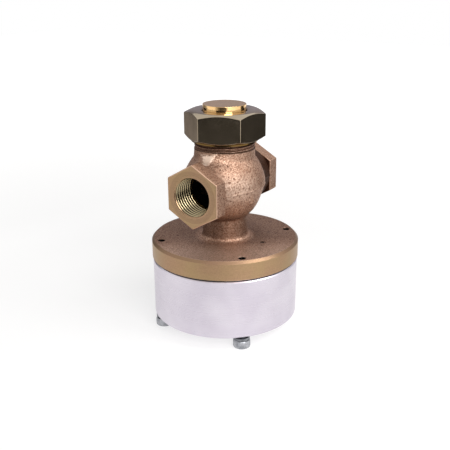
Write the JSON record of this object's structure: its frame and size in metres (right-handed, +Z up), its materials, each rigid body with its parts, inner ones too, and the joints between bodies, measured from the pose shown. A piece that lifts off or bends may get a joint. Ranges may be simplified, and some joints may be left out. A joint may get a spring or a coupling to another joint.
{
  "type": "pneumatic vent valve",
  "caption": "Piston-lifted pneumatic vent valve: bronze globe body with two threaded hexagon ports and a union nut, on an aluminium actuator cylinder held by socket screws.",
  "frame": {"origin": "on the valve axis at the lowest faces of the four clamp screw heads, which the valve stands on", "axes": "+Z up the valve axis to the plug; -Y out of the inlet port, +Y out of the outlet port; the vent hole of the flange is on +X"},
  "size_m": [0.075, 0.075, 0.1143],
  "materials": {
    "cast_bronze": "sand cast, machined faces",
    "nut_brass": "turned and milled",
    "polished_brass": "polished",
    "turned_brass": "turned",
    "guide_bronze": "sintered",
    "turned_aluminium": "fine turned",
    "zinc_steel": "zinc plated",
    "spring_steel": "bright",
    "stainless_steel": "ground",
    "nitrile_rubber": "matt",
    "ptfe_sheet": "matt",
    "gasket_sheet": "matt fibre"
  },
  "bodies": {
    "housing": {"actuator_cylinder": "turned_aluminium", "circlip": "spring_steel", "clamp_screw_1": "zinc_steel", "clamp_screw_2": "zinc_steel", "clamp_screw_3": "zinc_steel", "clamp_screw_4": "zinc_steel", "closing_spring": "spring_steel", "guide_bush": "guide_bronze", "joint_gasket": "gasket_sheet", "lower_stem_seal": "nitrile_rubber", "plug_gasket": "ptfe_sheet", "return_spring": "spring_steel", "seal_retainer": "turned_brass", "seal_spacer": "turned_brass", "seat_ring": "turned_brass", "spring_washer_1": "spring_steel", "spring_washer_2": "spring_steel", "spring_washer_3": "spring_steel", "spring_washer_4": "spring_steel", "top_plug": "polished_brass", "upper_stem_seal": "nitrile_rubber", "valve_body": "cast_bronze"},
    "stem_group": {"valve_stem": "stainless_steel", "valve_disc": "turned_brass", "disc_facing": "ptfe_sheet", "facing_washer": "stainless_steel", "disc_nut": "stainless_steel", "piston": "turned_aluminium", "piston_ring": "nitrile_rubber", "piston_guide_band": "ptfe_sheet", "piston_washer": "stainless_steel", "piston_nut": "zinc_steel", "stop_sleeve": "turned_brass"},
    "nut_carrier": {"thrust_ring": "turned_brass"},
    "nut": {"union_nut": "nut_brass"}
  },
  "joints": [
    {"name": "stem_lift", "type": "slide", "parent": "housing", "child": "stem_group", "axis": [0, 0, 1], "range_m": [0, 0.005], "stiffness_N_per_m": 4300, "springref_m": -0.0065, "deforming": ["return_spring", "closing_spring"]},
    {"name": "nut_rise", "type": "slide", "parent": "housing", "child": "nut_carrier", "axis": [0, 0, 1], "range_m": [0, 0.006]},
    {"name": "nut_turn", "type": "hinge", "parent": "nut_carrier", "child": "nut", "pos_m": [0, 0, 0.1], "axis": [0, 0, 1], "range_deg": [0, 1440]}
  ],
  "couplings": [
    {"joint": "nut_rise", "follows": "nut_turn", "m_per_rad": 0.0002387}
  ]
}
